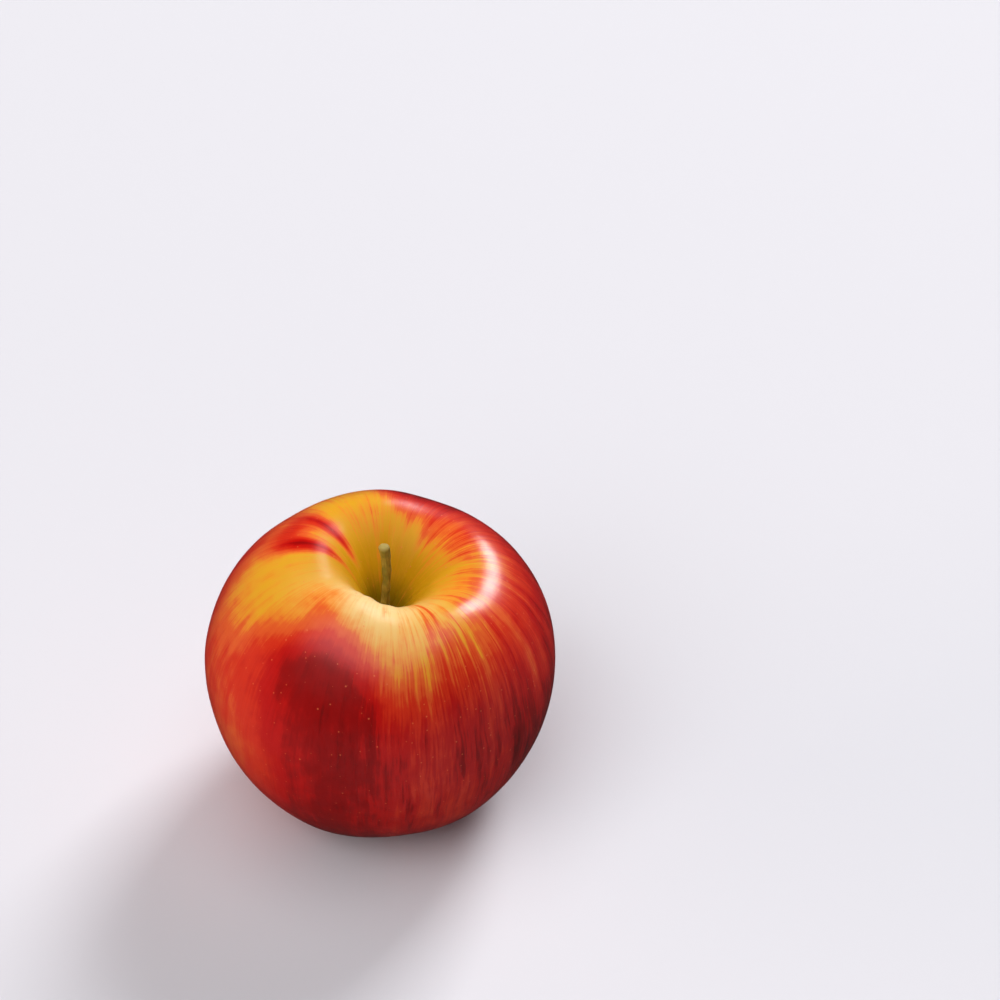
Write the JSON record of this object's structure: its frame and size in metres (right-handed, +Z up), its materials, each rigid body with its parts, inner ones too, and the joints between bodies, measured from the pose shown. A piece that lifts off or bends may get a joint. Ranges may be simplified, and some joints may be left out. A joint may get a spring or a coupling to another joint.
{
  "type": "apple",
  "caption": "Ripe dessert apple with a woody stem in its cavity and a dried calyx in its basin, standing upright on the lobes of its base.",
  "frame": {"origin": "on the surface that the apple stands on, under the middle of the fruit's bounding box", "axes": "+Z up, from the calyx to the stem; -Y is the front, with the lip that is drawn in over the stem cavity at the front left; +X is to the right, where the shoulder is lowest"},
  "size_m": [0.078, 0.0776, 0.0692],
  "materials": {
    "apple_skin": "waxed apple skin, red blush and streaks over a yellow ground",
    "stem_bark": "olive brown bark, pale where it came off the twig",
    "dry_sepal": "dry brown leaf with grey down",
    "dry_stamen": "dry dark brown threads"
  },
  "bodies": {
    "root": {"fruit": "apple_skin", "stem": "stem_bark", "sepal_1": "dry_sepal", "sepal_2": "dry_sepal", "sepal_3": "dry_sepal", "sepal_4": "dry_sepal", "sepal_5": "dry_sepal", "dried_stamens": "dry_stamen"}
  },
  "joints": []
}
